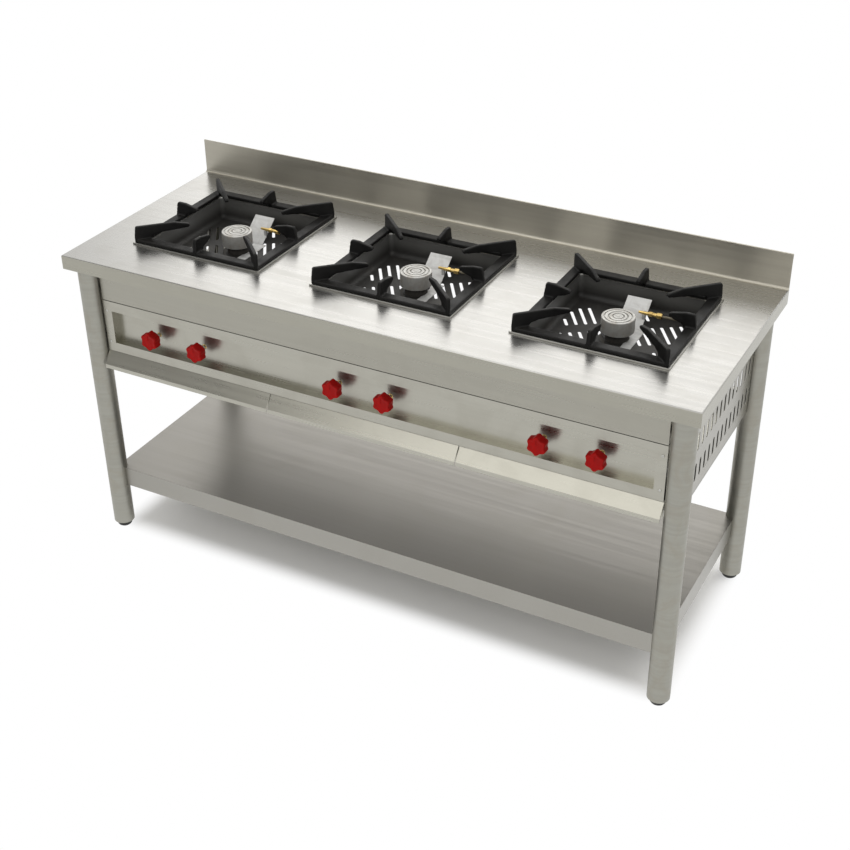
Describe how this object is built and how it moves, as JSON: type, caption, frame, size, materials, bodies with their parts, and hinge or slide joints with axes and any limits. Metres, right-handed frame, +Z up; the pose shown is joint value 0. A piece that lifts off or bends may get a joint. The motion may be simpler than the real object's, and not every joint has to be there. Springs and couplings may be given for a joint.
{
  "type": "wok range",
  "caption": "Freestanding stainless steel gas wok range with cast iron pan supports, red knobs, pull-out drip trays, a low splashback and an undershelf on round legs.",
  "frame": {"origin": "on the floor, below the middle of the worktop", "axes": "+X to the right along the range, +Y to its back, +Z up"},
  "size_m": [1.8, 0.68, 1],
  "materials": {
    "sheet_steel": "brushed",
    "tray_steel": "brushed",
    "tube_steel": "polished tube",
    "frame_steel": "satin",
    "foot_plastic": "matt",
    "bowl_enamel": "satin black",
    "burner_iron": "as cast",
    "burner_metal": "turned",
    "cast_iron": "black, slightly rough",
    "gas_pipe": "satin",
    "brass": "machined",
    "knob_red": "gloss",
    "spindle_steel": "bright"
  },
  "bodies": {
    "frame": {"worktop": "sheet_steel", "splashback": "sheet_steel", "leg_sockets": "frame_steel", "leg_inserts": "frame_steel", "undershelf": "sheet_steel", "shelf_stiffeners": "frame_steel", "front_fascia": "sheet_steel", "control_panel": "sheet_steel", "panel_screws": "frame_steel", "left_side_panel": "sheet_steel", "right_side_panel": "sheet_steel", "rear_top_rail": "frame_steel", "rear_lower_rail": "frame_steel", "tray_runners": "frame_steel", "manifold_pipe": "gas_pipe", "inlet_fitting": "brass", "manifold_clamps": "frame_steel", "gas_valves": "brass", "burner_supply_pipes": "gas_pipe", "pilot_supply_pipes": "gas_pipe", "pilot_jets": "brass", "pilot_brackets": "frame_steel", "front_left_leg": "tube_steel", "front_right_leg": "tube_steel", "rear_left_leg": "tube_steel", "rear_right_leg": "tube_steel", "front_left_foot": "foot_plastic", "front_right_foot": "foot_plastic", "rear_left_foot": "foot_plastic", "rear_right_foot": "foot_plastic", "bowl_1": "bowl_enamel", "bowl_2": "bowl_enamel", "bowl_3": "bowl_enamel", "burner_base_1": "burner_iron", "burner_base_2": "burner_iron", "burner_base_3": "burner_iron", "mixing_tube_1": "burner_iron", "mixing_tube_2": "burner_iron", "mixing_tube_3": "burner_iron"},
    "burner_head_1": {"burner_head_1": "burner_metal"},
    "pan_support_1": {"pan_support_1": "cast_iron"},
    "drip_tray_1": {"drip_tray_1": "tray_steel"},
    "burner_knob_1": {"burner_knob_1": "knob_red", "burner_spindle_1": "spindle_steel"},
    "pilot_knob_1": {"pilot_knob_1": "knob_red", "pilot_spindle_1": "spindle_steel"},
    "burner_head_2": {"burner_head_2": "burner_metal"},
    "pan_support_2": {"pan_support_2": "cast_iron"},
    "drip_tray_2": {"drip_tray_2": "tray_steel"},
    "burner_knob_2": {"burner_knob_2": "knob_red", "burner_spindle_2": "spindle_steel"},
    "pilot_knob_2": {"pilot_knob_2": "knob_red", "pilot_spindle_2": "spindle_steel"},
    "burner_head_3": {"burner_head_3": "burner_metal"},
    "pan_support_3": {"pan_support_3": "cast_iron"},
    "drip_tray_3": {"drip_tray_3": "tray_steel"},
    "burner_knob_3": {"burner_knob_3": "knob_red", "burner_spindle_3": "spindle_steel"},
    "pilot_knob_3": {"pilot_knob_3": "knob_red", "pilot_spindle_3": "spindle_steel"}
  },
  "joints": [
    {"name": "burner_head_1_lift", "type": "slide", "parent": "frame", "child": "burner_head_1", "axis": [0, 0, 1], "range_m": [0, 0.12]},
    {"name": "pan_support_1_lift", "type": "slide", "parent": "frame", "child": "pan_support_1", "axis": [0, 0, 1], "range_m": [0, 0.12]},
    {"name": "drip_tray_1_slide", "type": "slide", "parent": "frame", "child": "drip_tray_1", "axis": [0, -1, 0], "range_m": [0, 0.5]},
    {"name": "burner_knob_1_turn", "type": "hinge", "parent": "frame", "child": "burner_knob_1", "pos_m": [-0.65, -0.3, 0.686], "axis": [0, -1, 0], "range_deg": [0, 180]},
    {"name": "pilot_knob_1_turn", "type": "hinge", "parent": "frame", "child": "pilot_knob_1", "pos_m": [-0.5, -0.3, 0.686], "axis": [0, -1, 0], "range_deg": [0, 180]},
    {"name": "burner_head_2_lift", "type": "slide", "parent": "frame", "child": "burner_head_2", "axis": [0, 0, 1], "range_m": [0, 0.12]},
    {"name": "pan_support_2_lift", "type": "slide", "parent": "frame", "child": "pan_support_2", "axis": [0, 0, 1], "range_m": [0, 0.12]},
    {"name": "drip_tray_2_slide", "type": "slide", "parent": "frame", "child": "drip_tray_2", "axis": [0, -1, 0], "range_m": [0, 0.5]},
    {"name": "burner_knob_2_turn", "type": "hinge", "parent": "frame", "child": "burner_knob_2", "pos_m": [-0.075, -0.3, 0.686], "axis": [0, -1, 0], "range_deg": [0, 180]},
    {"name": "pilot_knob_2_turn", "type": "hinge", "parent": "frame", "child": "pilot_knob_2", "pos_m": [0.075, -0.3, 0.686], "axis": [0, -1, 0], "range_deg": [0, 180]},
    {"name": "burner_head_3_lift", "type": "slide", "parent": "frame", "child": "burner_head_3", "axis": [0, 0, 1], "range_m": [0, 0.12]},
    {"name": "pan_support_3_lift", "type": "slide", "parent": "frame", "child": "pan_support_3", "axis": [0, 0, 1], "range_m": [0, 0.12]},
    {"name": "drip_tray_3_slide", "type": "slide", "parent": "frame", "child": "drip_tray_3", "axis": [0, -1, 0], "range_m": [0, 0.5]},
    {"name": "burner_knob_3_turn", "type": "hinge", "parent": "frame", "child": "burner_knob_3", "pos_m": [0.5, -0.3, 0.686], "axis": [0, -1, 0], "range_deg": [0, 180]},
    {"name": "pilot_knob_3_turn", "type": "hinge", "parent": "frame", "child": "pilot_knob_3", "pos_m": [0.65, -0.3, 0.686], "axis": [0, -1, 0], "range_deg": [0, 180]}
  ]
}
